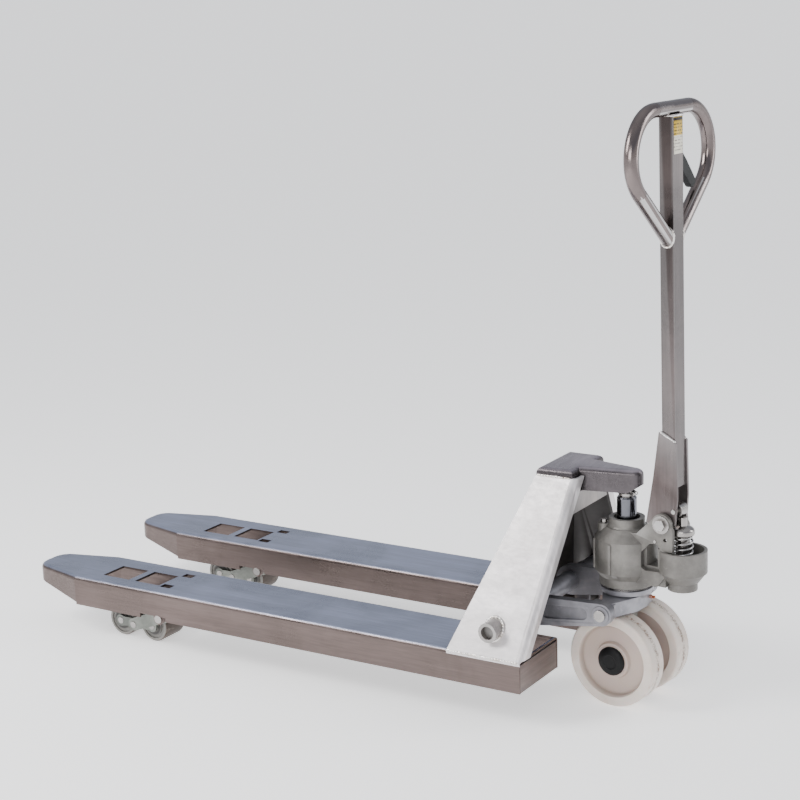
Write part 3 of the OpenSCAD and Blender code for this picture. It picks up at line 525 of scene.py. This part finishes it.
# ---------------------------------------------------------------- bevels on the CAD nodes
BEVEL = {"fork_left": 1.2, "fork_right": 1.2, "toe_left": 2.0, "toe_right": 2.0, "side_plate_left": 1.4,
         "side_plate_right": 1.4, "bridge_cap": 1.5, "pump_casting": 2.2, "base_plate": 2.0, "rocker": 2.0,
         "drawbar_tube": 3.0, "handle_brackets": 1.0, "heel_plates": 1.0, "control_lever": 2.5}
USUAL_BEVEL = 0.7
ROUND_BEVEL = 1.3  # wider bevels get a third segment
CREASE = math.radians(32)
NO_BEVEL = {"return_spring", "label_plate"}
TRUE_SHEET = {"fork_left", "fork_right"}
ROLLED_SHEET = {"toe_left", "toe_right", "bridge_cap"}


def soften(name, ob):
    """Smooth shading and a small bevel, or split creases on rolled sheet. The forks stay as they are."""
    if name in TRUE_SHEET:
        return
    for p in ob.data.polygons:
        p.use_smooth = True
    weld = ob.modifiers.new("weld", "WELD")
    weld.merge_threshold = 0.02 * MM
    if name in NO_BEVEL:
        return
    if name in ROLLED_SHEET:
        edges = ob.modifiers.new("edges", "EDGE_SPLIT")
        edges.split_angle = CREASE
        normal = ob.modifiers.new("normals", "WEIGHTED_NORMAL")
        normal.weight = 100
        return
    flat = ob.modifiers.new("flat", "DECIMATE")
    flat.decimate_type = "DISSOLVE"
    flat.angle_limit = math.radians(0.6)
    bevel = ob.modifiers.new("bevel", "BEVEL")
    width = BEVEL.get(name, USUAL_BEVEL)
    bevel.width = width * MM
    bevel.segments = 3 if width > ROUND_BEVEL else 2
    bevel.limit_method = "ANGLE"
    bevel.angle_limit = CREASE
    bevel.use_clamp_overlap = True
    normal = ob.modifiers.new("normals", "WEIGHTED_NORMAL")
    normal.keep_sharp = False


for name, ob in nodes.items():
    soften(name, ob)


# ---------------------------------------------------------------- weld beads
def bead(name, points, radius, body, seed, closed=False, step=2.2):
    """A weld bead: a rippled, slightly wandering tube along a path of points."""
    rng = random.Random(seed)
    path = []
    spans = list(zip(points, points[1:] + points[:1])) if closed else list(zip(points, points[1:]))
    for a, b in spans:
        count = max(1, round((b - a).length / (step * MM)))
        path += [a.lerp(b, i / count) for i in range(count)]
    if not closed:
        path.append(points[-1])
    sides = 10
    bm = bmesh.new()
    rings = []
    drift = 0.0
    total = len(path)
    for i, p in enumerate(path):
        before, after = path[(i - 1) % total], path[(i + 1) % total]
        if not closed:
            before, after = path[max(0, i - 1)], path[min(total - 1, i + 1)]
        t = (after - before).normalized()
        u = t.cross(Vector((0.31, 0.44, 0.84))).normalized()
        v = t.cross(u)
        drift = drift * 0.8 + rng.uniform(-1, 1) * 0.12
        ripple = 1 + 0.13 * math.sin(i * 2.1) + drift + rng.uniform(-0.06, 0.06)
        if not closed and i in (0, total - 1):
            ripple *= 0.35
        r = radius * MM * ripple
        ring = []
        for k in range(sides):
            a = 2 * math.pi * k / sides
            out = u * math.cos(a) + v * math.sin(a)
            ring.append(bm.verts.new(p + out * r * rng.uniform(0.94, 1.06)))
        rings.append(ring)
    pairs = list(zip(rings, rings[1:] + rings[:1])) if closed else list(zip(rings, rings[1:]))
    for a, b in pairs:
        for k in range(sides):
            j = (k + 1) % sides
            bm.faces.new((a[k], a[j], b[j], b[k]))
    if not closed:
        bm.faces.new(reversed(rings[0]))
        bm.faces.new(rings[-1])
    bmesh.ops.recalc_face_normals(bm, faces=bm.faces)
    mesh = bpy.data.meshes.new(name)
    bm.to_mesh(mesh)
    bm.free()
    for p in mesh.polygons:
        p.use_smooth = True
    ob = bpy.data.objects.new(name, mesh)
    scene.collection.objects.link(ob)
    give(ob, looks["weld"])
    sub = ob.modifiers.new("smooth", "SUBSURF")
    sub.levels = 1
    sub.render_levels = 1
    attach(ob, body)


# Places in millimetres that the beads share with the CAD model
LEAN = math.radians(30.6)  # side plates, inward from upright
HALF_W = 277.5  # half the width over both forks
FORK_TOP = 147
BOSS_X, BOSS_Z, BOSS_R = -74, 197, 22.5  # bead round the pivot boss
BRIDGE_Z = 486  # foot of the bridge on the side plates
TUBE_X, TUBE_HALF_X, TUBE_HALF_Y = 10, 16, 20  # drawbar's square tube
PROUD = 0.4  # a bead's middle stands this far off its face
LOOP_TOP, LOOP_HALF, LOOP_R, LEG = 843, 66, 90, math.radians(48)
LEG_HALF_X, LEG_HALF_Z = 15.6, 20.6  # oval where a loop's leg meets the tube
leg_run = LOOP_HALF + LOOP_R * math.cos(LEG) - TUBE_HALF_Y
leg_z = LOOP_TOP - LOOP_R * (1 + math.sin(LEG)) - leg_run / math.tan(LEG)


def lean_y(z):
    """Half the width over the side plates at a height."""
    return HALF_W - (z - FORK_TOP) * math.tan(LEAN)


def ring_points(fn, count=28):
    return [fn(2 * math.pi * i / count) for i in range(count)]


def boss_point(side, t):
    z = BOSS_Z + BOSS_R * math.sin(t)
    return world(BOSS_X + BOSS_R * math.cos(t), side * (lean_y(z) + 1.0), z)


def leg_point(side, t):
    z = leg_z + LEG_HALF_Z * math.sin(t)
    return on_handle(TUBE_X + LEG_HALF_X * math.cos(t), side * (TUBE_HALF_Y + PROUD), z)


for side, tag in ((1, "left"), (-1, "right")):
    foot_y, inner_y = side * 276.2, side * 267
    bead("weld_foot_" + tag, [world(-174, foot_y, 143), world(-3, foot_y, 143)], 3.6, "frame", 3 + side)
    bead("weld_foot_inner_" + tag, [world(-170, inner_y, 148), world(-12, inner_y, 148)], 3.0, "frame",
         13 + side)
    bead("weld_boss_" + tag, ring_points(lambda t: boss_point(side, t)), 3.2, "frame", 23 + side,
         closed=True)
    bridge_y, bridge_z = side * (lean_y(BRIDGE_Z) + PROUD), BRIDGE_Z + 0.5
    bead("weld_bridge_" + tag, [world(-60, bridge_y, bridge_z), world(18, bridge_y, bridge_z)], 2.4, "frame",
         33 + side)
    bead("weld_bracket_" + tag, [on_handle(-10, side * 22, 192.5), on_handle(27, side * 22, 172.5)], 3.2,
         "drawbar", 43 + side, step=2)
    bead("weld_bracket_side_" + tag, [on_handle(-8, side * 21, 186), on_handle(-7, side * 21, 100)], 2.0,
         "drawbar", 53 + side)
    bead("weld_leg_" + tag, ring_points(lambda t: leg_point(side, t)), 2.6, "drawbar", 63 + side,
         closed=True)
top_z = LOOP_TOP - 14
corner_x, corner_y = TUBE_HALF_X + PROUD, TUBE_HALF_Y + PROUD
corners = [on_handle(TUBE_X + i * corner_x, j * corner_y, top_z)
           for i, j in ((-1, -1), (1, -1), (1, 1), (-1, 1))]
bead("weld_loop_top", corners, 2.2, "drawbar", 91, closed=True)


# ---------------------------------------------------------------- floor
def make_floor():
    bm = bmesh.new()
    half = 200
    for x, y in ((-half, -half), (half, -half), (half, half), (-half, half)):
        bm.verts.new((x, y, 0))
    bm.faces.new(bm.verts)
    mesh = bpy.data.meshes.new("floor")
    bm.to_mesh(mesh)
    bm.free()
    ob = bpy.data.objects.new("floor", mesh)
    scene.collection.objects.link(ob)
    s = Shader("floor")
    give(ob, s.finish((0.93, 0.93, 0.93), 0.6, s.bump(s.noise(30), 0.0002, 0.2), 0.0,
                      Emission_Color=(1, 1, 1, 1), Emission_Strength=0.8))


make_floor()
